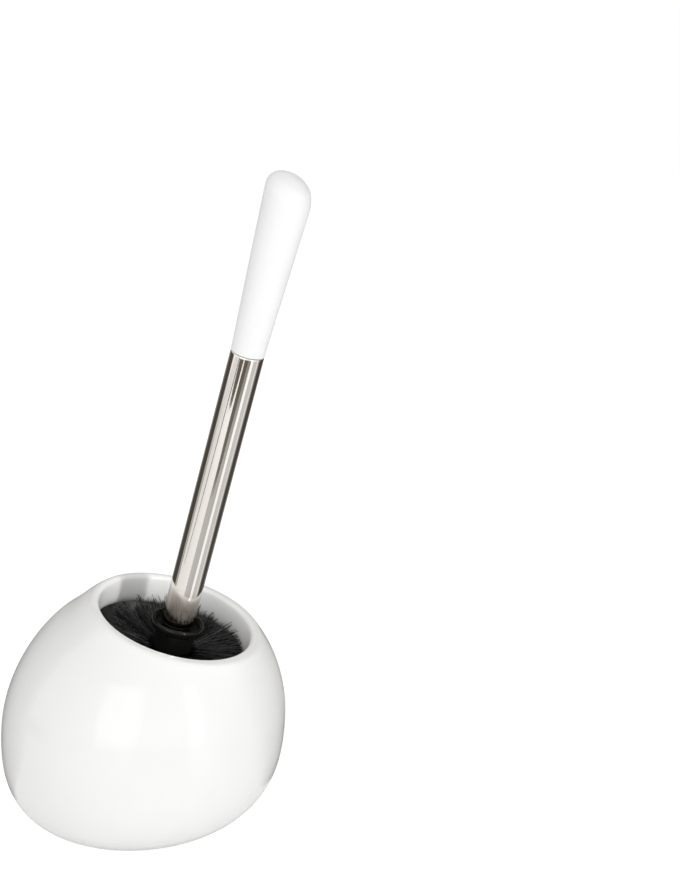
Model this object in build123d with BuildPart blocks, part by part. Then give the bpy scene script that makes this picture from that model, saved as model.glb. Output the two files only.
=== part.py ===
from build123d import *
from math import cos, radians, sin, tan
import os

os.makedirs("parts", exist_ok=True)

# A ball-shaped ceramic pot with a slanted mouth, and the toilet brush that stands in it.
# +Z is up, the origin is the centre of the pot's flat foot, and +X points to the low side
# of the mouth. XZ is the plane of symmetry. All sizes are in millimetres.

# ---- pot ----
POT_RADIUS = 77.5          # the widest circle, at the belly
BELLY_HEIGHT = 60.0        # floor to the widest circle
FOOT_RADIUS = 37.0         # the flat foot
LOWER_FULLNESS = 2.9       # exponents of the rounded profile: 2 is an ellipse, more is squarer
UPPER_FULLNESS = 1.85
DRIFT = 0.081              # how far each circle's centre moves along +X per mm of height
POT_WALL = 4.0
POT_FLOOR = 7.0            # thickness of the pot's floor
FLOOR_RADIUS = 30.0        # flat part of the floor inside
MOUTH_HEIGHT = 130.0       # mouth plane, above the centre of the foot
MOUTH_TILT = 18.6          # degrees, falling towards +X
CLOSED_TOP = 14.0          # how far the dome that the mouth cuts off would rise above that
NECK_DEPTH = 14.0          # straight neck inside the mouth, before the inside opens into the ball
NECK_ROUNDING = 5.0        # lower edge of the neck
LIP_OUTER_ROUNDING = 1.8
LIP_INNER_ROUNDING = 1.2

# ---- brush head ----
LEAN = 16.3                # degrees from upright, towards +X
HEAD_RADIUS = 38.0         # axis to bristle tips, and the radius of the rounded end
REST_GAP = 0.3             # bristle end to the pot's floor
LIP_CLEARANCE = 1.4        # bristle tips to the low side of the mouth
CORE_RADIUS = 11.0
CORE_TOP = 71.7            # heights along the brush are measured from the centre of its round end
CORE_END = -12.0
CORE_END_ROUNDING = 3.5
RING_COUNT = 8
TOP_RING = 59.7
RING_PITCH = 9.4
FAN_UP = 11.0              # degrees that the top ring points up
FAN_DOWN = 16.0            # degrees that the lowest ring points down
TUFTS_PER_RING = 14
TUFT_ROOT_RADIUS = 1.9
TUFT_SPLAY = 3.0           # degrees that a tuft widens on each side
ROOT_DEPTH = 2.5           # how deep the tuft roots sit in the core
ROOT_WIDTH = 5.4
ROOT_CLEARANCE = 0.1
END_PLUG_RADIUS = 6.0
END_PLUG_DEPTH = 4.0
END_TUFTS = {0.0: 1, 26.0: 6, 50.0: 10}   # degrees from the brush's axis: number of tufts

# ---- collar between the tube and the core ----
COLLAR_RADIUS = 14.5
COLLAR_THICKNESS = 4.6     # under the tube's end
COLLAR_RIM = 0.8           # how far the rim stands above the seat
COLLAR_SEAT_RADIUS = 11.5
COLLAR_ROUNDING = 1.6

# ---- handle ----
TUBE_RADIUS = 8.8
TUBE_WALL = 1.0
TUBE_LENGTH = 155.3
TUBE_END_ROUNDING = 4.0
STUD_RADIUS = 4.0
STUD_IN_CORE = 9.0         # length of thread in the core
STUD_IN_BUSH = 14.0
STUD_RUNNING_GAP = 0.05    # radial, in every hole that the stud passes
STUD_TIP_ROOM = 2.0        # bottom of the core's hole below the stud's tip
BUSH_LENGTH = 16.0
BUSH_FIT = 0.05            # radial, bush or grip spigot in the tube
GRIP_TOP_RADIUS = 12.2
GRIP_TAPER_LENGTH = 78.6   # joint to the centre of the rounded top
GRIP_SPIGOT = 22.0
GRIP_SPIGOT_CHAMFER = 1.0
GRIP_DOME_RADIUS = 16.0
GRIP_DOME_OFFSET = 3.3     # the top's centre lies this far to the high side, so it slopes to +X
GRIP_EDGE_ROUNDING = 4.0


# ---- shape of the pot ----
# Every level is a circle. Its radius follows a rounded profile that is squarer below the
# belly than above, and its centre drifts to +X with height.

def profile_radius(height, widest, base_height, base_radius, dome):
    """Radius at a height, for a profile with its widest circle at the belly."""
    if height >= BELLY_HEIGHT:
        part = (height - BELLY_HEIGHT) / dome
        return widest * (1 - part ** UPPER_FULLNESS) ** (1 / UPPER_FULLNESS)
    drop = BELLY_HEIGHT - base_height
    closed_drop = drop / (1 - (base_radius / widest) ** LOWER_FULLNESS) ** (1 / LOWER_FULLNESS)
    part = (BELLY_HEIGHT - height) / closed_drop
    return widest * (1 - part ** LOWER_FULLNESS) ** (1 / LOWER_FULLNESS)


dome_height = MOUTH_HEIGHT + CLOSED_TOP - BELLY_HEIGHT


def outer_radius(height):
    return profile_radius(height, POT_RADIUS, 0, FOOT_RADIUS, dome_height)


def inner_radius(height):
    return profile_radius(
        height, POT_RADIUS - POT_WALL, POT_FLOOR, FLOOR_RADIUS, dome_height - POT_WALL
    )


LOWER_LEVELS = (0, 0.03, 0.1, 0.22, 0.4, 0.65)
UPPER_LEVELS = (0, 0.2, 0.4, 0.57, 0.7, 0.8, 0.88, 0.94, 0.975)


def levels(base_height, dome):
    """Heights of the circles that a skin is drawn through, close together where it turns."""
    lower = [base_height + part * (BELLY_HEIGHT - base_height) for part in LOWER_LEVELS]
    return lower + [BELLY_HEIGHT + part * dome for part in UPPER_LEVELS]


def level_plane(height):
    return Plane(origin=(DRIFT * height, 0, height))


MOUTH = Plane(
    origin=(0, 0, MOUTH_HEIGHT), z_dir=(sin(radians(MOUTH_TILT)), 0, cos(radians(MOUTH_TILT)))
)


def inner_edge(side):
    """Where the inner skin meets the mouth plane: side 1 is the low side, -1 the high side."""
    low, high = POT_FLOOR, BELLY_HEIGHT + dome_height - POT_WALL
    for _ in range(60):
        height = (low + high) / 2
        reach = DRIFT * height + side * inner_radius(height)
        if height + reach * tan(radians(MOUTH_TILT)) > MOUTH_HEIGHT:
            high = height
        else:
            low = height
    return Vector(reach, 0, height)


low_lip = inner_edge(1)
high_lip = inner_edge(-1)
neck_centre = (low_lip + high_lip) / 2
neck_centre_radius = inner_radius(neck_centre.Z)
neck_length = (low_lip - high_lip).length / 2
neck_width = (neck_centre_radius**2 - (neck_centre.X - DRIFT * neck_centre.Z) ** 2) ** 0.5
NECK = Plane(origin=neck_centre, x_dir=low_lip - high_lip, z_dir=MOUTH.z_dir)

with BuildPart() as cavity:
    for height in levels(POT_FLOOR, dome_height - POT_WALL):
        with BuildSketch(level_plane(height)):
            Circle(inner_radius(height))
    loft()
    split(bisect_by=MOUTH.offset(-NECK_DEPTH), keep=Keep.BOTTOM)
    with BuildSketch(NECK.offset(-NECK_DEPTH)):
        Ellipse(neck_length, neck_width)
    extrude(amount=NECK_DEPTH + POT_WALL)
    neck_edge = cavity.edges().filter_by_position(Axis(NECK.origin, NECK.z_dir), -NECK_DEPTH - 0.01, -NECK_DEPTH + 0.01)
    fillet(neck_edge.sort_by(SortBy.LENGTH)[0], NECK_ROUNDING)

with BuildPart() as pot:
    for height in levels(0, dome_height):
        with BuildSketch(level_plane(height)):
            Circle(outer_radius(height))
    loft()
    add(cavity.part, mode=Mode.SUBTRACT)
    split(bisect_by=MOUTH, keep=Keep.BOTTOM)
    lip_edges = pot.faces().filter_by(GeomType.PLANE).sort_by(Axis.Z)[-1].edges()
    lip_edges = lip_edges.sort_by(SortBy.LENGTH)
    fillet(lip_edges[-1], LIP_OUTER_ROUNDING)
    inner_lip = pot.faces().filter_by(GeomType.PLANE).sort_by(Axis.Z)[-1].edges()
    fillet(inner_lip.sort_by(SortBy.LENGTH)[0], LIP_INNER_ROUNDING)


# ---- where the brush stands ----
# Its round end rests on the floor, and its axis leans so that the bristle tips just clear
# the inner edge of the mouth on the low side.

lean = radians(LEAN)
end_z = POT_FLOOR + REST_GAP + HEAD_RADIUS
side_step = (HEAD_RADIUS + LIP_CLEARANCE) / cos(lean)
end_x = low_lip.X - side_step - (low_lip.Z - end_z) * tan(lean)

BRUSH = Plane(origin=(end_x, 0, end_z), x_dir=(cos(lean), 0, -sin(lean)), z_dir=(sin(lean), 0, cos(lean)))
BRUSH_AXIS = Axis(BRUSH.origin, BRUSH.z_dir)
SECTION = Plane(origin=BRUSH.origin, x_dir=BRUSH.x_dir, z_dir=BRUSH.y_dir * -1)

collar_seat = CORE_TOP + COLLAR_THICKNESS
tube_top = collar_seat + TUBE_LENGTH
tube_bore = TUBE_RADIUS - TUBE_WALL
stud_hole = STUD_RADIUS + STUD_RUNNING_GAP
stud_tip = CORE_TOP - STUD_IN_CORE
bush_bottom = collar_seat + TUBE_END_ROUNDING
grip_dome_centre = tube_top + GRIP_TAPER_LENGTH


# ---- brush head ----

def ring_height(number):
    return TOP_RING - number * RING_PITCH


def ring_tilt(number):
    """Degrees above the level across the brush: up at the top ring, down at the lowest."""
    return FAN_UP - (FAN_UP + FAN_DOWN) * number / (RING_COUNT - 1)


def tuft_planes(height, start, tilt, count, first_turn=0):
    """Planes round the axis at a height and a start radius, each facing along its tuft."""
    centre = BRUSH.offset(height).origin
    planes = []
    for tuft in range(count):
        turn = radians(first_turn + 360 / count * tuft)
        outward = BRUSH.x_dir * cos(turn) + BRUSH.y_dir * sin(turn)
        across = BRUSH.y_dir * cos(turn) - BRUSH.x_dir * sin(turn)
        along = outward * cos(radians(tilt)) + BRUSH.z_dir * sin(radians(tilt))
        planes.append(Plane(origin=centre + outward * start, x_dir=across, z_dir=along))
    return planes


with BuildPart() as envelope:
    with BuildSketch(SECTION):
        with BuildLine():
            Line((0, -HEAD_RADIUS), (0, CORE_TOP))
            Line((0, CORE_TOP), (HEAD_RADIUS, CORE_TOP))
            Line((HEAD_RADIUS, CORE_TOP), (HEAD_RADIUS, 0))
            CenterArc((0, 0), HEAD_RADIUS, 270, 90)
        make_face()
    revolve(axis=BRUSH_AXIS)

with BuildPart() as brush_core:
    with BuildSketch(BRUSH.offset(CORE_END)):
        Circle(CORE_RADIUS)
    extrude(amount=CORE_TOP - CORE_END)
    fillet(brush_core.edges().filter_by(GeomType.CIRCLE).sort_by(BRUSH_AXIS)[0], CORE_END_ROUNDING)
    with BuildSketch(BRUSH.offset(stud_tip - STUD_TIP_ROOM)):
        Circle(stud_hole)
    extrude(until=Until.LAST, mode=Mode.SUBTRACT)
    with BuildSketch(BRUSH.offset(CORE_END)):
        Circle(END_PLUG_RADIUS + ROOT_CLEARANCE)
    extrude(amount=END_PLUG_DEPTH + ROOT_CLEARANCE, mode=Mode.SUBTRACT)
    for number in range(RING_COUNT):
        with BuildSketch(BRUSH.offset(ring_height(number))):
            Circle(CORE_RADIUS)
            Circle(CORE_RADIUS - ROOT_DEPTH, mode=Mode.SUBTRACT)
        extrude(amount=ROOT_WIDTH / 2 + ROOT_CLEARANCE, both=True, mode=Mode.SUBTRACT)

tuft_rings = []
for number in range(RING_COUNT):
    with BuildPart() as tuft_ring:
        with BuildSketch(BRUSH.offset(ring_height(number))):
            Circle(CORE_RADIUS)
            Circle(CORE_RADIUS - ROOT_DEPTH + ROOT_CLEARANCE, mode=Mode.SUBTRACT)
        extrude(amount=ROOT_WIDTH / 2, both=True)
        root = CORE_RADIUS - ROOT_DEPTH / 2
        stagger = 180 / TUFTS_PER_RING * (number % 2)
        facing = tuft_planes(ring_height(number), root, ring_tilt(number), TUFTS_PER_RING, stagger)
        with BuildSketch(*facing):
            Circle(TUFT_ROOT_RADIUS)
        extrude(amount=HEAD_RADIUS, taper=-TUFT_SPLAY)
        add(envelope.part, mode=Mode.INTERSECT)
    tuft_rings.append(tuft_ring.part)

with BuildPart() as end_tufts:
    with BuildSketch(BRUSH.offset(CORE_END)):
        Circle(END_PLUG_RADIUS)
    extrude(amount=END_PLUG_DEPTH)
    for swing, count in END_TUFTS.items():
        facing = tuft_planes(CORE_END + END_PLUG_DEPTH / 2, 0, swing - 90, count)
        with BuildSketch(*facing):
            Circle(TUFT_ROOT_RADIUS)
        extrude(amount=HEAD_RADIUS, taper=-TUFT_SPLAY)
    add(envelope.part, mode=Mode.INTERSECT)

with BuildPart() as collar:
    with BuildSketch(BRUSH.offset(CORE_TOP)):
        Circle(COLLAR_RADIUS)
    extrude(amount=COLLAR_THICKNESS + COLLAR_RIM)
    fillet(collar.edges().filter_by(GeomType.CIRCLE), COLLAR_ROUNDING)
    with BuildSketch(BRUSH.offset(collar_seat)):
        Circle(COLLAR_SEAT_RADIUS)
    extrude(amount=COLLAR_RIM, mode=Mode.SUBTRACT)
    with BuildSketch(BRUSH.offset(CORE_TOP)):
        Circle(stud_hole)
    extrude(amount=COLLAR_THICKNESS, mode=Mode.SUBTRACT)


# ---- handle ----

with BuildPart() as tube:
    with BuildSketch(SECTION):
        with BuildLine():
            flat = TUBE_RADIUS - TUBE_END_ROUNDING
            plate_top = collar_seat + TUBE_WALL
            Polyline((flat, collar_seat), (stud_hole, collar_seat), (stud_hole, plate_top), (flat, plate_top))
            CenterArc((flat, bush_bottom), TUBE_END_ROUNDING - TUBE_WALL, 270, 90)
            Polyline(
                (tube_bore, bush_bottom), (tube_bore, tube_top), (TUBE_RADIUS, tube_top), (TUBE_RADIUS, bush_bottom)
            )
            CenterArc((flat, bush_bottom), TUBE_END_ROUNDING, 270, 90)
        make_face()
    revolve(axis=BRUSH_AXIS)

with BuildPart() as threaded_bush:
    with BuildSketch(BRUSH.offset(bush_bottom)):
        Circle(tube_bore - BUSH_FIT)
        Circle(stud_hole, mode=Mode.SUBTRACT)
    extrude(amount=BUSH_LENGTH)

with BuildPart() as threaded_stud:
    with BuildSketch(BRUSH.offset(stud_tip)):
        Circle(STUD_RADIUS)
    extrude(amount=bush_bottom + STUD_IN_BUSH - stud_tip)

with BuildPart() as grip:
    with BuildSketch(SECTION):
        taper = (GRIP_TOP_RADIUS - TUBE_RADIUS) / GRIP_TAPER_LENGTH
        grip_end = grip_dome_centre + GRIP_DOME_RADIUS
        end_radius = GRIP_TOP_RADIUS + taper * GRIP_DOME_RADIUS
        Polygon(
            (0, tube_top), (TUBE_RADIUS, tube_top), (end_radius, grip_end), (0, grip_end), align=None
        )
    revolve(axis=BRUSH_AXIS)
    with BuildSketch(SECTION):
        with BuildLine():
            pole = (-GRIP_DOME_OFFSET, grip_dome_centre + GRIP_DOME_RADIUS)
            equator = (GRIP_DOME_RADIUS - GRIP_DOME_OFFSET, grip_dome_centre)
            outside = 2 * GRIP_DOME_RADIUS
            CenterArc((-GRIP_DOME_OFFSET, grip_dome_centre), GRIP_DOME_RADIUS, 0, 90)
            Line(equator, (outside, grip_dome_centre))
            Line((outside, grip_dome_centre), (outside, grip_end + GRIP_DOME_OFFSET))
            Line((outside, grip_end + GRIP_DOME_OFFSET), (-GRIP_DOME_OFFSET, grip_end + GRIP_DOME_OFFSET))
            Line((-GRIP_DOME_OFFSET, grip_end + GRIP_DOME_OFFSET), pole)
        make_face()
    revolve(axis=Axis(SECTION.from_local_coords(Vector(*pole)), BRUSH.z_dir), mode=Mode.SUBTRACT)
    fillet(grip.edges().sort_by(BRUSH_AXIS)[-1], GRIP_EDGE_ROUNDING)
    with BuildSketch(BRUSH.offset(tube_top)):
        Circle(tube_bore - BUSH_FIT)
    extrude(amount=-GRIP_SPIGOT)
    chamfer(grip.edges().sort_by(BRUSH_AXIS)[0], GRIP_SPIGOT_CHAMFER)


# ---- export ----

pieces = {
    "pot": pot.part,
    "brush_core": brush_core.part,
    "end_tufts": end_tufts.part,
    "collar": collar.part,
    "tube": tube.part,
    "threaded_bush": threaded_bush.part,
    "threaded_stud": threaded_stud.part,
    "grip": grip.part,
}
for number, ring in enumerate(tuft_rings, start=1):
    pieces[f"tuft_ring_{number}"] = ring
for name, piece in pieces.items():
    piece.label = name
    export_step(piece, f"parts/{name}.step")

print("brush origin", BRUSH.origin, "axis", BRUSH.z_dir)
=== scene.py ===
import math

import bmesh
import bpy
import numpy as np
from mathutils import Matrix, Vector


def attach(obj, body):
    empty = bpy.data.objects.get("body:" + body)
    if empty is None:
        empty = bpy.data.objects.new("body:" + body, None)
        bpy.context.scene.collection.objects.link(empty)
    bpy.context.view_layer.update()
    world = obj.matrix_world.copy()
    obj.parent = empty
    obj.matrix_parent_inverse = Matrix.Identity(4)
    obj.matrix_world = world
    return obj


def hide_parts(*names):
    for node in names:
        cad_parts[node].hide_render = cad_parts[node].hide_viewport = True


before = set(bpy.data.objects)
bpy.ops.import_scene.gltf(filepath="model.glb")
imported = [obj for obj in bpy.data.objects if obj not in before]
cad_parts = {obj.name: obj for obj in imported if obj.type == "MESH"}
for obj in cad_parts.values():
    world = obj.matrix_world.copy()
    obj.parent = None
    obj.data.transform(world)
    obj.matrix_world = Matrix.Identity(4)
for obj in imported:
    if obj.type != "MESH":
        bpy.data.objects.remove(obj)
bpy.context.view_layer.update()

# ---- Pot ----
# The pot is white glazed stoneware, cast in one piece: a ball with a flat foot and a mouth cut
# at a slant. Its lip is rounded while the clay is soft, and the foot is wiped bare of glaze.

belly_radius = 0.0775
belly_height = 0.060
lower_fullness = 2.9
upper_fullness = 1.85
foot_radius = 0.037
pot_wall = 0.004
pot_floor = 0.007
floor_radius = 0.030
mouth_height = 0.130
mouth_tilt = math.radians(18.6)
drift = 0.081  # how far the middle moves along +X as the pot rises
dome_height = 0.084
lip_rounding = 0.0010


def ball_radius(height, widest, base_height, base_radius, dome):
    """Radius of the ball at a height. It is squarer below the belly than above it."""
    if height >= belly_height:
        part = min((height - belly_height) / dome, 0.9999)
        return widest * (1 - part ** upper_fullness) ** (1 / upper_fullness)
    base_share = 1 - (base_radius / widest) ** lower_fullness
    drop = (belly_height - base_height) / base_share ** (1 / lower_fullness)
    part = (belly_height - height) / drop
    return widest * (1 - part ** lower_fullness) ** (1 / lower_fullness)


def slanted_ring(height, tilt, ball):
    """The ball's ring in a plane that falls towards +X: its middle, half sizes and tilt."""
    base_height, dome = ball[1], ball[3]
    ends = []
    for side in (1, -1):
        low, high = base_height, belly_height + dome
        for _ in range(50):
            z = (low + high) / 2
            x = drift * z + side * ball_radius(z, *ball)
            if z + x * math.tan(tilt) > height:
                high = z
            else:
                low = z
        ends.append((x, z))
    x, z = (ends[0][0] + ends[1][0]) / 2, (ends[0][1] + ends[1][1]) / 2
    half_width = math.sqrt(ball_radius(z, *ball) ** 2 - (x - drift * z) ** 2)
    return x, z, math.dist(*ends) / 2, half_width, tilt


def new_disc(name, corners, radius=1, height=0):
    """A flat disc around the Z axis."""
    bpy.ops.mesh.primitive_circle_add(
        vertices=corners, radius=radius, fill_type="NGON", location=(0, 0, height)
    )
    disc = bpy.context.object
    disc.name = name
    disc.data.name = name
    return disc


def draw_up(name, rings, segments=64):
    """A closed skin drawn from a disc through rings.

    Each ring is its middle's x and z, half its length, half its width, and its tilt.
    """
    piece = new_disc(name, segments)
    bpy.ops.object.mode_set(mode="EDIT")
    bpy.ops.mesh.select_all(action="SELECT")
    x, z, length, width, tilt = 0, 0, 1, 1, 0
    for number, ring in enumerate(rings):
        if number:
            bpy.ops.mesh.extrude_region_move(TRANSFORM_OT_translate={"value": (0, 0, 0)})
        if tilt:
            bpy.ops.transform.rotate(value=tilt, orient_axis="Y", center_override=(x, 0, z))
        stretch = (ring[2] / length, ring[3] / width, 1)
        bpy.ops.transform.resize(value=stretch, center_override=(x, 0, z))
        bpy.ops.transform.translate(value=(ring[0] - x, 0, ring[1] - z))
        x, z, length, width, tilt = ring
        if tilt:
            bpy.ops.transform.rotate(value=-tilt, orient_axis="Y", center_override=(x, 0, z))
    bpy.ops.mesh.select_all(action="SELECT")
    bpy.ops.mesh.normals_make_consistent(inside=False)
    bpy.ops.object.mode_set(mode="OBJECT")
    return piece


def round_edges(piece, chosen, width, segments):
    """Bevels the edges whose two ends pass a test."""
    bpy.ops.object.mode_set(mode="EDIT")
    bpy.ops.mesh.select_mode(type="EDGE")
    bpy.ops.mesh.select_all(action="DESELECT")
    mesh = bmesh.from_edit_mesh(piece.data)
    for edge in mesh.edges:
        edge.select_set(chosen(edge.verts[0].co, edge.verts[1].co))
    bmesh.update_edit_mesh(piece.data)
    bpy.ops.mesh.bevel(offset=width, segments=segments, affect="EDGES")
    bpy.ops.mesh.select_mode(type="VERT")
    bpy.ops.object.mode_set(mode="OBJECT")


def refine(piece, levels):
    """Subdivides a piece into a smooth surface, for good."""
    smoother = piece.modifiers.new("smooth skin", "SUBSURF")
    smoother.levels = levels
    smoother.render_levels = levels
    bpy.ops.object.modifier_apply(modifier=smoother.name)
    bpy.ops.object.shade_smooth()


outer_ball = (belly_radius, 0, foot_radius, dome_height)
inner_ball = (belly_radius - pot_wall, pot_floor, floor_radius, dome_height - pot_wall)
mouth_normal = Vector((math.sin(mouth_tilt), 0, math.cos(mouth_tilt)))


def ring_below_mouth(depth, ball):
    """The ball's ring in a plane parallel to the mouth, at a depth under it."""
    return slanted_ring(mouth_height - depth / math.cos(mouth_tilt), mouth_tilt, ball)


# The rings of the wall lie level at the foot and slant more and more towards the mouth. All
# heights and depths in these lists are in millimetres.
slant_rise = 106
inner_slant_rise = 100
pot_rings = [(0, 0, 0.030, 0.030, 0), (0, 0, 0.0362, 0.0362, 0), (0, 0.0003, 0.0372, 0.0372, 0)]
for height in (1.2, 3, 5.5, 9, 13.5, 19, 26, 34, 43, 52, 61, 70, 79, 88, 97):
    tilt = mouth_tilt * height / slant_rise
    pot_rings.append(slanted_ring(height / 1000, tilt, outer_ball))

# The high side dips a little before it rises to the lip.
lip_dips = (
    (22, 0.4), (18, 1.1), (14.5, 1.7), (11, 1.8), (8, 1.5), (5, 1.1), (2.4, 0.9), (0, 0.8),
)
for depth, dip in lip_dips:
    x, z, length, width, tilt = ring_below_mouth(depth / 1000, outer_ball)
    half = dip / 2000
    x, z = x + half * math.cos(tilt), z - half * math.sin(tilt)
    pot_rings.append((x, z, length - half, width, tilt))

# Inside the thin lip the mouth narrows to a short neck, which then opens into the ball. Each
# step is a depth, how much wider than the neck it is, and its share of the ball's own ring.
neck_steps = (
    (0, 1.9, 0), (1.2, 1.1, 0), (2.8, 0.7, 0), (5, 0.4, 0), (8, 0.15, 0), (12.5, 0, 0),
    (16, 0, 0.05), (18.5, 0, 0.25), (21, 0, 0.6), (24, 0, 1),
)
mouth_ring = ring_below_mouth(0, inner_ball)
for depth, flare, share in neck_steps:
    open_ring = ring_below_mouth(depth / 1000, inner_ball)
    x = mouth_ring[0] - depth / 1000 * mouth_normal.x
    z = mouth_ring[1] - depth / 1000 * mouth_normal.z
    neck_ring = (x, z, mouth_ring[2] + flare / 1000, mouth_ring[3] + flare / 1000, mouth_tilt)
    pot_rings.append(tuple(a + (b - a) * share for a, b in zip(neck_ring, open_ring)))
for height in (99, 90, 80, 70, 60, 50, 40, 31, 23, 17, 12.5, 9.8, 8):
    tilt = mouth_tilt * (height - pot_floor * 1000) / inner_slant_rise
    pot_rings.append(slanted_ring(height / 1000, tilt, inner_ball))
floor_middle = drift * pot_floor
pot_rings.append((floor_middle, pot_floor, floor_radius - 0.001, floor_radius - 0.001, 0))
pot_rings.append((floor_middle, pot_floor, 0.020, 0.020, 0))
pot = draw_up("pot_shell", pot_rings)
mouth_middle = Vector((mouth_ring[0], 0, mouth_ring[1]))


def in_plane(ends, middle, normal, slack):
    """Whether all the ends lie in a plane, to within some slack."""
    return max(abs((end - middle).dot(normal)) for end in ends) < slack


def on_the_lip(a, b):
    """Picks the two rings of edges at the mouth, and not the short edges between them."""
    across_the_lip = abs((a - mouth_middle).length - (b - mouth_middle).length) >= 0.0012
    return in_plane((a, b), mouth_middle, mouth_normal, 0.00005) and not across_the_lip


round_edges(pot, on_the_lip, lip_rounding, 3)
refine(pot, 2)


class Tone:
    """One socket of a finish. Sums on it add Math nodes, and node() adds any other node."""

    def __init__(self, socket):
        self.socket = socket

    def node(self, kind, output, settings, sockets):
        made = self.socket.id_data.nodes.new("ShaderNode" + kind)
        for setting, value in settings.items():
            setattr(made, setting, value)
        connect(made, sockets)
        return Tone(made.outputs[output])

    def sum(self, operation, first, second):
        return self.node("Math", 0, {"operation": operation}, {0: first, 1: second})

    def __add__(self, other):
        return self.sum("ADD", self, other)

    __radd__ = __add__

    def __sub__(self, other):
        return self.sum("SUBTRACT", self, other)

    def __rsub__(self, other):
        return self.sum("SUBTRACT", other, self)

    def __mul__(self, other):
        return self.sum("MULTIPLY", self, other)

    __rmul__ = __mul__


def connect(node, sockets):
    """Links or sets a node's input sockets, by name or number."""
    for name, value in sockets.items():
        if isinstance(value, Tone):
            node.id_data.links.new(value.socket, node.inputs[name])
        else:
            node.inputs[name].default_value = value


def new_finish(name):
    """An empty finish: its material, its shader, and the place on the piece."""
    material = bpy.data.materials.new(name)
    material.use_nodes = True
    shader = material.node_tree.nodes["Principled BSDF"]
    place = Tone(material.node_tree.nodes.new("ShaderNodeTexCoord").outputs["Object"])
    return material, shader, place


def cloudiness(place, scale, detail=3.0, distortion=0.0):
    """Soft random cloudiness between 0 and 1."""
    sizes = {"Vector": place, "Scale": scale, "Detail": detail, "Distortion": distortion}
    return place.node("TexNoise", "Fac", {}, sizes)


def two_colours(mask, first, second):
    """A colour that goes from the first to the second with the mask."""
    return mask.node("Mix", 2, {"data_type": "RGBA"}, {0: mask, 6: first, 7: second})


def wear_in(value, start, end, low=0.0, high=1.0):
    """Maps a value from one range to another and holds it at the ends."""
    ends = {"Value": value, "From Min": start, "From Max": end, "To Min": low, "To Max": high}
    return value.node("MapRange", "Result", {}, ends)


def arrow_sum(operation, output, first, second=(0, 0, 0)):
    """A sum on two arrows, such as a cross product."""
    return first.node("VectorMath", output, {"operation": operation}, {0: first, 1: second})


def bumps(height, strength, distance):
    """Small bumps that follow a height."""
    sockets = {"Strength": strength, "Distance": distance, "Height": height}
    return height.node("Bump", "Normal", {}, sockets)


# The glaze is thin on the lip and pools in slow waves on the wall. Inside the neck its colour is
# painted whiter, as painted light on the shaded inner wall.
glaze, shader, place = new_finish("white_glaze")
height = place.node("SeparateXYZ", "Z", {}, {"Vector": place})
bare = wear_in(height, 0.0009, 0.0002)
lip_rise = mouth_middle.dot(mouth_normal)
to_the_lip = arrow_sum("DOT_PRODUCT", "Value", place, mouth_normal) - lip_rise
thin_glaze = wear_in(to_the_lip, -0.0016, -0.0002)
from_mouth = arrow_sum("SUBTRACT", "Vector", place, mouth_middle)
across = arrow_sum("CROSS_PRODUCT", "Vector", from_mouth, mouth_normal)
from_axis = arrow_sum("LENGTH", "Value", across)
# Painted light: the inner wall of the neck is painted whiter than the rest of the glaze.
neck_painted_light = wear_in(from_axis, 0.0452, 0.0440)
speckled = wear_in(cloudiness(place, 1400, 1.0), 0.70, 0.78)
pooled = cloudiness(place, 26, 4.0)
glazed = two_colours(pooled, (0.865, 0.862, 0.850, 1), (0.895, 0.893, 0.882, 1))
glazed = two_colours(neck_painted_light, glazed, (0.955, 0.955, 0.945, 1))
glazed = two_colours(thin_glaze * 0.3, glazed, (0.76, 0.75, 0.71, 1))
glazed = two_colours(speckled * 0.10, glazed, (0.45, 0.41, 0.35, 1))
ripple = cloudiness(place, 55, 2.0) + cloudiness(place, 420, 2.0) * 0.05
clay_grain = cloudiness(place, 2600, 4.0) * 0.25 * bare
connect(shader, {
    "Base Color": two_colours(bare, glazed, (0.70, 0.655, 0.58, 1)),
    "Roughness": wear_in(cloudiness(place, 90), 0.3, 0.7, 0.11, 0.16) + bare * 0.6,
    "Normal": bumps(ripple + clay_grain, 0.22, 0.0007),
    "IOR": 1.52,
})
pot.data.materials.append(glaze)
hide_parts("pot")
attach(pot, "pot")

# ---- Brush core ----
# A smooth black plastic core, drilled for its tufts and tapped at the top for the stud. It
# stands leaning in the pot, and its round shoulder is all that shows under the collar.

lean = math.radians(16.3)
brush_end = (0.00557499, 0, 0.0453)
core_radius = 0.011
core_end = -0.012


def set_on_brush(piece):
    """Turns a piece that is drawn upright onto the leaning axis of the brush."""
    piece.rotation_euler = (0, lean, 0)
    piece.location = brush_end
    bpy.ops.object.transform_apply(location=True, rotation=True, scale=True)


def turned(name, steps, segments=48):
    """A round piece on the brush's axis, from (radius, height) steps in millimetres."""
    rings = [(0, up / 1000, out / 1000, out / 1000, 0) for out, up in steps]
    return draw_up(name, rings, segments)


core = turned("brush_core_moulding", [
    (4, -12), (7.6, -12), (9.6, -11.2), (10.8, -9.4), (11, -7), (11, 20), (11, 45), (11, 62),
    (11, 68), (10.9, 70.6), (10.6, 71.1), (10.6, 71.65), (6, 71.65),
])
refine(core, 1)
set_on_brush(core)

moulded_black, shader, place = new_finish("moulded_black_plastic")
scuffed = cloudiness(place, 240, 5.0)
connect(shader, {
    "Base Color": two_colours(scuffed, (0.004, 0.0038, 0.0036, 1), (0.010, 0.0095, 0.0085, 1)),
    "Roughness": wear_in(scuffed, 0.3, 0.7, 0.26, 0.42),
    "Specular IOR Level": 0.2,
    "Normal": bumps(cloudiness(place, 900, 2.0), 0.15, 0.0002),
})
core.data.materials.append(moulded_black)
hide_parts("brush_core")
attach(core, "head")

# ---- Bristles ----
# Stiff black nylon bristles, folded and stapled into the core in eight rings of tufts. The top
# rings point up and the lowest ones down, and the ends are trimmed to a rounded head.

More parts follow.
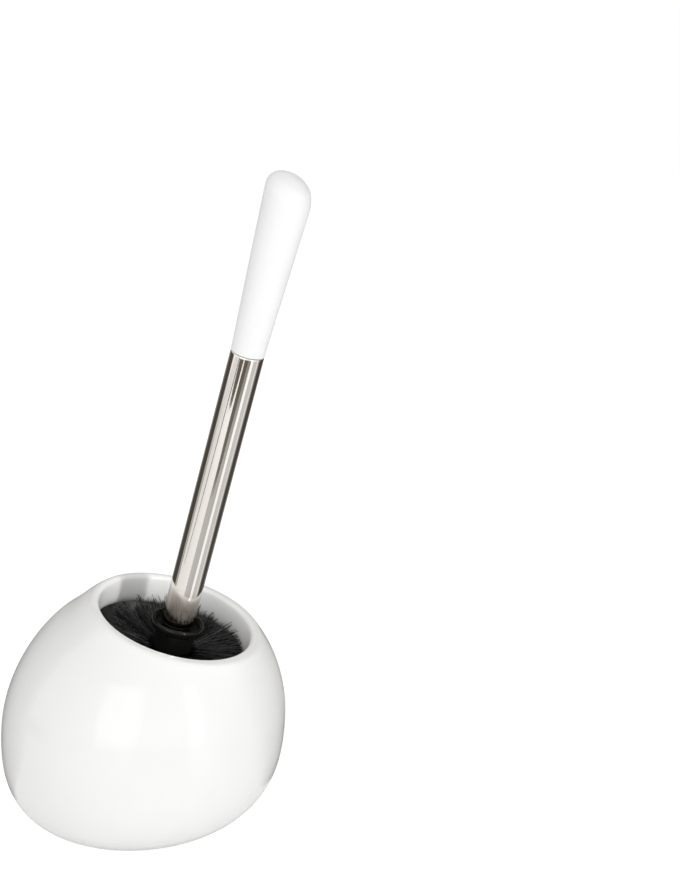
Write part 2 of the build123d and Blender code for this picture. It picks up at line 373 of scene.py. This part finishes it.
head_radius = 0.038
ring_count = 8
top_ring = 0.0597
ring_pitch = 0.0094
top_tilt = 11
lowest_tilt = -16
tufts_in_ring = 14
bristles_in_tuft = 64
tuft_radius = 0.0016
root_depth = 0.0015
end_root_reach = 0.0022
tuft_splay = 0.10
widest_splay = (1, 0.10)  # to the side, and upwards
splay_height = 0.8  # of its width
outer_lean = 30  # how fast bristles lean out, away from their tuft's middle
tuft_stray = (0.07, 0.07, 0.012)
bristle_radius = 0.00024
bristle_steps = 6
tip_share = 0.7
longest_bristle = 0.06
trim_samples = 241
trim_margin = 0.0003
trim_slack = 0.0009
lip_wear = 0.0006
curl = 0.075
wave_size = (0.00015, 0.00085)
wave_turns = (1.2, 2.6)
chance = np.random.default_rng(41)

bristle = new_disc("one_bristle", 3)
bpy.ops.object.mode_set(mode="EDIT")
bpy.ops.mesh.select_all(action="SELECT")
for joint in range(bristle_steps):
    step = (0, 0, 1 / bristle_steps)
    bpy.ops.mesh.extrude_region_move(TRANSFORM_OT_translate={"value": step})
bpy.ops.transform.resize(value=(tip_share, tip_share, 1), center_override=(0, 0, 1))
bpy.ops.mesh.select_all(action="SELECT")
bpy.ops.mesh.normals_make_consistent(inside=False)
bpy.ops.object.mode_set(mode="OBJECT")
bristle_points = np.array([corner.co for corner in bristle.data.vertices])
bristle_faces = [list(face.vertices) for face in bristle.data.polygons]
bpy.data.objects.remove(bristle)

nylon, shader, place = new_finish("black_nylon")
shade = place.node("Attribute", "Fac", {"attribute_name": "bristle_shade"}, {})
dust = wear_in(cloudiness(place, 700, 2.0), 0.55, 0.75)
nylon_colour = two_colours(shade, (0.0015, 0.0014, 0.0013, 1), (0.008, 0.0075, 0.0068, 1))
connect(shader, {
    "Base Color": two_colours(dust * 0.3, nylon_colour, (0.035, 0.032, 0.028, 1)),
    "Roughness": wear_in(shade, 0.0, 1.0, 0.18, 0.46),
    "Specular IOR Level": 0.6,
})


def unit(arrows):
    """The same arrows, each with a length of one."""
    return arrows / np.linalg.norm(arrows, axis=1, keepdims=True)


def trimmed_lengths(roots, aims, worn):
    """How long each bristle is when the head is trimmed round, a little raggedly.

    The lip of the mouth wears the bristles on the high side, so they are shorter there.
    """
    along = np.linspace(0, longest_bristle, trim_samples)
    paths = roots[:, None, :] + aims[:, None, :] * along[None, :, None]
    out = np.hypot(paths[..., 0], paths[..., 1])
    reach = np.where(paths[..., 2] < 0, np.sqrt(out ** 2 + paths[..., 2] ** 2), out)
    ragged = head_radius - np.abs(chance.normal(0, trim_slack, len(roots)))
    ragged = ragged - worn * np.clip(-aims[:, 0], 0, 1)
    return along[np.argmax(reach > ragged[:, None], axis=1)] - trim_margin


def set_bristles(name, node, roots, aims, worn=0.0):
    """Sets a bristle on every root, each with a bow and a wave of its own."""
    count = len(roots)
    length = trimmed_lengths(roots, aims, worn)
    aside = unit(np.cross(aims, chance.normal(size=(count, 3))))
    other = np.cross(aims, aside)
    share = bristle_points[:, 2]
    bow = (chance.normal(0, curl, count) * length)[:, None] * share ** 2
    wave = chance.uniform(*wave_size, count)[:, None]
    turns = chance.uniform(*wave_turns, count)[:, None]
    start = chance.uniform(0, 2 * np.pi, count)[:, None]
    swing = wave * np.sin(start + 2 * np.pi * turns * share) * share
    points = roots[:, None, :] + aims[:, None, :] * (length[:, None] * share)[..., None]
    sideways = swing + bristle_radius * bristle_points[:, 0]
    crosswise = bow + bristle_radius * bristle_points[:, 1]
    points = points + aside[:, None, :] * sideways[..., None]
    points = points + other[:, None, :] * crosswise[..., None]
    corners = len(bristle_points)
    faces = [
        [corner + corners * number for corner in face]
        for number in range(count) for face in bristle_faces
    ]
    mesh = bpy.data.meshes.new(name)
    mesh.from_pydata(points.reshape(-1, 3).tolist(), [], faces)
    shades = mesh.attributes.new("bristle_shade", "FLOAT", "POINT")
    shades.data.foreach_set("value", np.repeat(chance.uniform(0, 1, count), corners))
    mesh.shade_smooth()
    tuft = bpy.data.objects.new(name, mesh)
    bpy.context.collection.objects.link(tuft)
    bpy.ops.object.select_all(action="DESELECT")
    tuft.select_set(True)
    bpy.context.view_layer.objects.active = tuft
    set_on_brush(tuft)
    tuft.data.materials.append(nylon)
    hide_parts(node)
    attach(tuft, "head")


def spread_tuft(middle, aim):
    """Roots and aims of one tuft that fans out from its hole."""
    aside = np.array([-aim[1], aim[0], 0.0]) if abs(aim[2]) < 0.99 else np.array([1.0, 0.0, 0.0])
    aside = aside / np.linalg.norm(aside)
    other = np.cross(aim, aside)
    far = tuft_radius * np.sqrt(chance.uniform(0, 1, bristles_in_tuft))
    turn = chance.uniform(0, 2 * np.pi, bristles_in_tuft)
    offset = np.outer(far * np.cos(turn), aside) + np.outer(far * np.sin(turn), other)
    fan = np.minimum(chance.normal(0, tuft_splay, (bristles_in_tuft, 2)), widest_splay)
    lean_out = np.outer(fan[:, 0], aside) + np.outer(fan[:, 1] * splay_height, other)
    way = aim + chance.normal(0, tuft_stray, 3)
    return middle + offset, unit(way + offset * outer_lean + lean_out)


def joined(tufts):
    """The roots and the aims of all the tufts, each in one list."""
    return [np.concatenate(both) for both in zip(*tufts)]


for number in range(ring_count):
    tilt = math.radians(top_tilt + (lowest_tilt - top_tilt) * number / (ring_count - 1))
    up = np.array([0, 0, top_ring - ring_pitch * number])
    tufts = []
    for tuft in range(tufts_in_ring):
        turn = 2 * math.pi * (tuft + 0.5 * (number % 2)) / tufts_in_ring
        outward = np.array([math.cos(turn), math.sin(turn), 0.0])
        aim = outward * math.cos(tilt) + np.array([0, 0, math.sin(tilt)])
        tufts.append(spread_tuft(outward * (core_radius - root_depth) + up, aim))
    worn = lip_wear if number == 0 else 0
    set_bristles(f"bristle_ring_{number + 1}", f"tuft_ring_{number + 1}", *joined(tufts), worn)

# The tufts on the round end stand in circles around the one at its middle.
tufts = []
for swing, count in ((0, 1), (26, 6), (50, 10)):
    out, down = math.sin(math.radians(swing)), -math.cos(math.radians(swing))
    for tuft in range(count):
        turn = 2 * math.pi * tuft / count
        aim = np.array([out * math.cos(turn), out * math.sin(turn), down])
        middle = np.array([0, 0, core_end + root_depth]) + aim * end_root_reach
        tufts.append(spread_tuft(middle, aim))
set_bristles("bristle_end", "end_tufts", *joined(tufts))

# ---- Collar ----
# A glossy black plastic dish with a rounded rim, clamped between the tube and the core. The
# tube's end sits in the dish, so that drips run off it and not down the thread.

collar = turned("collar_dish", [
    (6, 71.75), (11.2, 71.75), (13.0, 71.9), (14.1, 72.9), (14.45, 74.3), (14.45, 75.6),
    (14.1, 76.7), (13.3, 77.05), (12.5, 76.8), (11.9, 76.0), (11.4, 74.6), (10.7, 73.6),
    (9.2, 73.35), (6, 73.3),
], 64)
refine(collar, 2)
set_on_brush(collar)

glossy_black, shader, place = new_finish("glossy_black_plastic")
tone_mask = cloudiness(place, 160, 4.0)
connect(shader, {
    "Base Color": two_colours(tone_mask, (0.004, 0.0038, 0.0036, 1), (0.009, 0.0085, 0.008, 1)),
    "Roughness": wear_in(tone_mask, 0.3, 0.7, 0.06, 0.12),
    "Specular IOR Level": 0.22,
    "Normal": bumps(cloudiness(place, 1900, 2.0), 0.06, 0.0001),
})
collar.data.materials.append(glossy_black)
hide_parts("collar")
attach(collar, "head")

# ---- Threaded stud ----
# A steel stud with a coarse rolled thread joins the brush head to the handle. Its lower end
# sits in the core, and the handle's bush turns on the rest.

stud_bottom = 0.0627
stud_top = 0.0943
pitch = 0.003
thread_turns = 13
steps_in_turn = 28
weld = 0.00001
bpy.ops.mesh.primitive_plane_add(size=0.001, location=(0, 0, 0))
stud = bpy.context.object
stud.name = "threaded_stud_rolled"
bpy.ops.object.mode_set(mode="EDIT")
bpy.ops.mesh.select_all(action="SELECT")
bpy.ops.mesh.delete(type="VERT")
mesh = bmesh.from_edit_mesh(stud.data)
flank = [
    (0.00335, 0), (0.00345, 0.0005), (0.00388, 0.0011), (0.00395, 0.0015), (0.00388, 0.0019),
    (0.00345, 0.0025), (0.00335, pitch),
]
corners = [mesh.verts.new((out, 0, up)) for out, up in flank]
for one, two in zip(corners, corners[1:]):
    mesh.edges.new((one, two))
bmesh.update_edit_mesh(stud.data)
bpy.ops.object.mode_set(mode="OBJECT")
thread = stud.modifiers.new("rolled thread", "SCREW")
thread.axis = "Z"
thread.screw_offset = pitch
thread.iterations = thread_turns
thread.steps = steps_in_turn
thread.render_steps = steps_in_turn
thread.use_merge_vertices = True
thread.merge_threshold = weld
bpy.ops.object.modifier_apply(modifier=thread.name)
bpy.ops.object.mode_set(mode="EDIT")
bpy.ops.mesh.select_all(action="SELECT")
bpy.ops.mesh.remove_doubles(threshold=weld)
bpy.ops.transform.translate(value=(0, 0, stud_bottom - 2 * pitch))
for level, direction in ((stud_bottom, -1), (stud_top, 1)):
    bpy.ops.mesh.select_all(action="SELECT")
    bpy.ops.mesh.bisect(
        plane_co=(0, 0, level), plane_no=(0, 0, direction), use_fill=True, clear_outer=True
    )
bpy.ops.mesh.select_all(action="SELECT")
bpy.ops.mesh.normals_make_consistent(inside=False)
bpy.ops.object.mode_set(mode="OBJECT")
bpy.ops.object.shade_smooth_by_angle(angle=math.radians(40))
set_on_brush(stud)

steel, shader, place = new_finish("rolled_steel")
drawn = cloudiness(place, 500, 4.0)
connect(shader, {
    "Base Color": two_colours(drawn, (0.42, 0.41, 0.40, 1), (0.62, 0.61, 0.60, 1)),
    "Roughness": wear_in(drawn, 0.3, 0.7, 0.22, 0.38),
    "Normal": bumps(cloudiness(place, 2200), 0.1, 0.0001),
    "Metallic": 1.0,
})
stud.data.materials.append(steel)
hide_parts("threaded_stud")
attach(stud, "stud")

# ---- Handle tube ----
# A thin polished steel tube with a rounded lower end, which carries the threaded bush inside.
# Near that end its colour is painted a streaky brown, as a painted reflection of the pot's shaded
# inner wall, and wiping leaves faint marks along it all.

tube = turned("handle_tube", [
    (4.1, 73.45), (5.0, 73.45), (6.4, 73.7), (7.7, 74.6), (8.5, 76.0), (8.8, 77.5), (8.8, 84),
    (8.8, 120), (8.8, 160), (8.8, 200), (8.8, 228.8), (8.8, 229.8), (8.8, 230.6), (8.8, 231.2),
    (8.5, 231.5), (7.8, 231.5), (5, 231.5),
], 64)
refine(tube, 2)
set_on_brush(tube)

chrome, shader, place = new_finish("polished_steel")
lengthwise = {"Vector": place, "Rotation": (0, -lean, 0), "Scale": (1, 1, 0.04)}
wiped = cloudiness(place.node("Mapping", "Vector", {}, lengthwise), 1500, 3.0)
spots = wear_in(cloudiness(place, 330, 2.0, 0.6), 0.62, 0.72)
brush_axis = Vector((math.sin(lean), 0, math.cos(lean)))
up_the_brush = arrow_sum("DOT_PRODUCT", "Value", place, brush_axis)
# Painted reflection: near the collar the tube is painted a streaky dark brown, standing in for
# the shaded inner wall that it mirrors.
painted_reflection_end = wear_in(up_the_brush - brush_axis.dot(Vector(brush_end)), 0.099, 0.087)
tone_mask = painted_reflection_end * wear_in(wiped, 0.3, 0.7, 0.6, 1.0)
metal = two_colours(cloudiness(place, 60), (0.86, 0.815, 0.765, 1), (0.91, 0.865, 0.815, 1))
connect(shader, {
    "Base Color": two_colours(tone_mask * 0.95, metal, (0.30, 0.25, 0.205, 1)),
    "Roughness": wear_in(wiped, 0.3, 0.7, 0.03, 0.06) + spots * 0.05,
    "Normal": bumps(wiped, 0.03, 0.0001),
    "Metallic": 1.0,
})
tube.data.materials.append(chrome)
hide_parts("tube")
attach(tube, "handle")

# ---- Threaded bush ----
# A dark plastic bush with a threaded bore, pressed into the lower end of the tube. It screws
# onto the stud, and so holds the handle to the brush head.

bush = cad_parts["threaded_bush"]
bush_plastic, shader, place = new_finish("bush_plastic")
grain = cloudiness(place, 800, 3.0)
connect(shader, {
    "Base Color": two_colours(grain, (0.035, 0.034, 0.033, 1), (0.060, 0.058, 0.055, 1)),
    "Roughness": wear_in(grain, 0.3, 0.7, 0.45, 0.62),
})
bush.material_slots[0].material = bush_plastic

# ---- Grip ----
# A tapered grip of white satin plastic, plugged into the top of the tube. It widens towards a
# sloping domed end, and its lower edge is eased where it meets the metal.

joint_height = 0.2316
grip_foot_radius = 0.0088
grip_taper = 0.00374
grip_top_width = 0.01262
dome_middle = (-0.0033, 0.3102)
dome_radius = 0.016
dome_tilt = math.radians(19.5)
dome_axis = (math.sin(dome_tilt), math.cos(dome_tilt))
side_flattening = 0.05 / 56  # of the dome's width, for each degree from its middle
edge_reach = 56.2
edge_rounding = 0.0042


def dome_ring(reach):
    """A ring of the domed end, at an angle in degrees from the middle of the dome."""
    out = dome_radius * math.sin(math.radians(reach))
    up = dome_radius * math.cos(math.radians(reach))
    x, z = dome_middle[0] + up * dome_axis[0], dome_middle[1] + up * dome_axis[1]
    return x, z, out, out, dome_tilt


edge = dome_ring(edge_reach)
grip_rings = [
    (0, joint_height, 0.005, 0.005, 0),
    (0, joint_height, 0.0081, 0.0081, 0),
    (0, joint_height + 0.0002, 0.0087, 0.0087, 0),
]
for part in (0.01, 0.04, 0.2, 0.4, 0.6, 0.8, 0.92):
    radius = grip_foot_radius + grip_taper * part
    tilt = part ** 2 * dome_tilt
    z = joint_height + part * (edge[1] - joint_height)
    grip_rings.append((edge[0] * part, z, radius / math.cos(tilt), radius, tilt))
grip_rings.append((edge[0], edge[1], edge[2], grip_top_width, edge[4]))
for reach in (36, 25, 13):
    x, z, length, width, tilt = dome_ring(reach)
    grip_rings.append((x, z, length, width * (1 - side_flattening * reach), tilt))
grip = draw_up("grip_moulding", grip_rings)
edge_middle = Vector((edge[0], 0, edge[1]))
edge_normal = Vector((dome_axis[0], 0, dome_axis[1]))


def on_the_edge(a, b):
    """Picks the ring of edges where the dome meets the taper."""
    return in_plane((a, b), edge_middle, edge_normal, 0.0002)


round_edges(grip, on_the_edge, edge_rounding, 4)
refine(grip, 2)
set_on_brush(grip)

satin_white, shader, place = new_finish("satin_white_plastic")
handled = cloudiness(place, 70, 4.0)
connect(shader, {
    "Base Color": two_colours(handled, (0.87, 0.87, 0.87, 1), (0.89, 0.89, 0.89, 1)),
    "Roughness": wear_in(handled, 0.3, 0.7, 0.38, 0.50),
    "Specular IOR Level": 0.35,
    "Normal": bumps(cloudiness(place, 2400, 2.0), 0.12, 0.00012),
})
grip.data.materials.append(satin_white)
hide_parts("grip")
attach(grip, "handle")

# ---- Floor and light ----
# A pale floor under a plain white surround. A large soft lamp stands in front, and a tall
# narrow one and a small spot for the mouth at the front right. A dark flag behind and cards on
# the floor, which only show in reflections, give the metal its edges and streaks.

floor = new_disc("studio_floor", 96, 4, -0.0002)
pale, shader, place = new_finish("pale_floor")
connect(shader, {
    "Base Color": two_colours(cloudiness(place, 3), (0.96, 0.96, 0.96, 1), (0.98, 0.98, 0.98, 1)),
    "Roughness": 0.6,
})
# To look at, the floor is mostly plain white, with a little of its own shading.
tree = pale.node_tree
seen = Tone(tree.nodes.new("ShaderNodeLightPath").outputs["Is Camera Ray"])
white = seen.node("Emission", 0, {}, {"Color": (1, 1, 1, 1), "Strength": 1.15})
lit = Tone(shader.outputs[0])
mixed = seen.node("MixShader", 0, {}, {0: seen * 0.82, 1: lit, 2: white})
tree.links.new(mixed.socket, tree.nodes["Material Output"].inputs["Surface"])
floor.data.materials.append(pale)

world = bpy.data.worlds.new("white_surround")
bpy.context.scene.world = world
world.use_nodes = True
tree = world.node_tree
tree.nodes.clear()
rays = tree.nodes.new("ShaderNodeLightPath")
# The surround is fully white to look at and in reflections, and sheds a little less light.
shown = Tone(rays.outputs["Is Camera Ray"])
for name in ("Is Glossy Ray", "Is Transmission Ray"):
    shown = shown.sum("MAXIMUM", shown, Tone(rays.outputs[name]))
strength = wear_in(shown, 0, 1, 0.77, 1.0)
background = shown.node("Background", 0, {}, {"Color": (1, 1, 1, 1), "Strength": strength})
output = tree.nodes.new("ShaderNodeOutputWorld")
tree.links.new(background.socket, output.inputs["Surface"])


def stand_at(name, thing, place, direction):
    """Puts a lamp or a lens on a stand that looks along a direction."""
    stand = bpy.data.objects.new(name, thing)
    bpy.context.collection.objects.link(stand)
    stand.location = place
    stand.rotation_euler = Vector(direction).to_track_quat("-Z", "Y").to_euler()
    return stand


def hang_lamp(name, place, aim, width, height, power):
    """A soft rectangular lamp that points at the object."""
    lamp = bpy.data.lights.new(name, "AREA")
    lamp.shape = "RECTANGLE"
    lamp.size = width
    lamp.size_y = height
    lamp.energy = power
    stand_at(name, lamp, place, Vector(aim) - Vector(place))


hang_lamp("soft_box", (0.136, -1.293, 0.50), (0, 0, 0.10), 0.80, 1.0, 3.05)
hang_lamp("strip_lamp", (0.83, -0.35, 0.28), (0, 0, 0.13), 0.10, 0.56, 1.4)

mouth_light = bpy.data.lights.new("mouth_light", "SPOT")
mouth_light.energy = 8
mouth_light.spot_size = math.radians(7.6)
mouth_light.spot_blend = 0.8
mouth_light.shadow_soft_size = 0.025
stand_at("mouth_light", mouth_light, (0.83, -0.35, 0.32), (-0.832, 0.365, -0.177))

flag_cloth = bpy.data.materials.new("flag_cloth")
flag_cloth.use_nodes = True
tree = flag_cloth.node_tree
tree.nodes.clear()
place = Tone(tree.nodes.new("ShaderNodeTexCoord").outputs["Object"])
tone = place.node("Attribute", "Fac", {"attribute_name": "tone"}, {})
tint = two_colours(wear_in(tone, 0.1, 0.5), (1, 0.90, 0.77, 1), (0.98, 0.99, 1, 1))
strength = tone + cloudiness(place, 9) * 0.03
cloth = place.node("Emission", 0, {}, {"Color": tint, "Strength": strength})
tree.links.new(cloth.socket, tree.nodes.new("ShaderNodeOutputMaterial").inputs["Surface"])


def hang_flag(name, rows):
    """A flag that only shows in reflections, drawn from rows of (x, y, z, tone) points."""
    bpy.ops.mesh.primitive_plane_add(size=1, location=(0, 0, 0))
    flag = bpy.context.object
    flag.name = name
    mesh = bmesh.new()
    tones = mesh.verts.layers.float.new("tone")
    lines = []
    for row in rows:
        lines.append([mesh.verts.new(point[:3]) for point in row])
        for corner, point in zip(lines[-1], row):
            corner[tones] = point[3]
    for one, two in zip(lines, lines[1:]):
        for a, b, c, d in zip(one, one[1:], two[1:], two):
            mesh.faces.new((a, b, c, d))
    mesh.to_mesh(flag.data)
    mesh.free()
    flag.data.materials.append(flag_cloth)
    flag.visible_camera = False
    flag.visible_diffuse = False
    flag.visible_shadow = False
    flag.visible_transmission = False


# The back flag bends around the set, with two paler windows and two edges that fade out. Its
# middle and its reach to each side are in degrees.
flag_steps = 12
flag_middle = 113
flag_reach = 91
window_steps = (-4, -3, 3, 4, 5)
dark_tone = 0.055
window_tone = 0.24
fade_tone = 0.28
rows = []
for middle, reach, height in ((0.005, 0.085, 0.001), (0.045, 0.24, 0.01), (0.045, 0.24, 0.50)):
    rows.append([])
    for step in range(-flag_steps, flag_steps + 1):
        turn = math.radians(flag_middle + flag_reach * step / flag_steps)
        tone = window_tone if step in window_steps else dark_tone
        fade = max(0, -10 - step, 2 * (step - 11))
        x, y = middle + reach * math.cos(turn), reach * math.sin(turn)
        rows[-1].append((x, y, height, tone + fade_tone * fade))
hang_flag("back_flag", rows)

# The cards lie on the floor in front. Each is drawn through stations of its left and right
# side, (x, y) on the floor, and its tone there.
card_height = 0.0012
floor_cards = {
    "middle": [
        ((0.216, -0.737), (0.403, -0.445), 0.10), ((0.171, -0.509), (0.291, -0.338), 0.14),
        ((0.161, -0.400), (0.239, -0.291), 0.17), ((0.132, -0.373), (0.215, -0.263), 0.50),
        ((0.071, -0.210), (0.120, -0.152), 0.56),
    ],
    "middle_right": [
        ((0.403, -0.445), (0.469, -0.273), 0.20), ((0.291, -0.338), (0.349, -0.205), 0.40),
        ((0.192, -0.236), (0.237, -0.142), 0.52), ((0.120, -0.152), (0.150, -0.093), 0.50),
    ],
    "top_left": [
        ((-0.494, -1.352), (0.150, -0.816), 0.10), ((-0.266, -0.982), (0.111, -0.688), 0.12),
        ((-0.129, -0.816), (0.064, -0.666), 0.16),
    ],
    "left": [
        ((-4.443, -0.959), (-2.090, -1.405), 0.72), ((-1.976, -0.429), (-1.171, -0.788), 0.46),
        ((-0.693, -0.154), (-0.475, -0.320), 0.32),
    ],
    "line": [
        ((-0.609, -1.335), (-0.435, -1.231), 0.06), ((-0.497, -0.943), (-0.387, -0.897), 0.08),
        ((-0.392, -0.574), (-0.331, -0.563), 0.12), ((-0.380, -0.459), (-0.336, -0.457), 0.30),
    ],
    "right": [
        ((0.501, -0.116), (0.500, 0.125), 0.60), ((0.314, -0.075), (0.313, 0.076), 0.64),
        ((0.175, -0.044), (0.175, 0.041), 0.58),
    ],
    "bright": [
        ((0.475, -0.250), (0.498, -0.139), 1.15), ((0.163, -0.091), (0.173, -0.052), 1.05),
    ],
}
for name, stations in floor_cards.items():
    rows = []
    for left, right, tone in stations:
        rows.append([side + (card_height, tone) for side in (left, right)])
    hang_flag(f"floor_card_{name}", rows)

# ---- Camera ----
# The camera stands at the front right, a little higher than the grip, and looks down at the
# brush and the pot.

lens = bpy.data.cameras.new("camera")
lens.lens = 68.46
lens.sensor_width = 36
lens.clip_start = 0.01
camera_place = (0.43887, -0.76276, 0.42891)
camera_direction = (-0.3731, 0.89592, -0.24107)
bpy.context.scene.camera = stand_at("camera", lens, camera_place, camera_direction)
bpy.context.scene.view_settings.view_transform = "Standard"
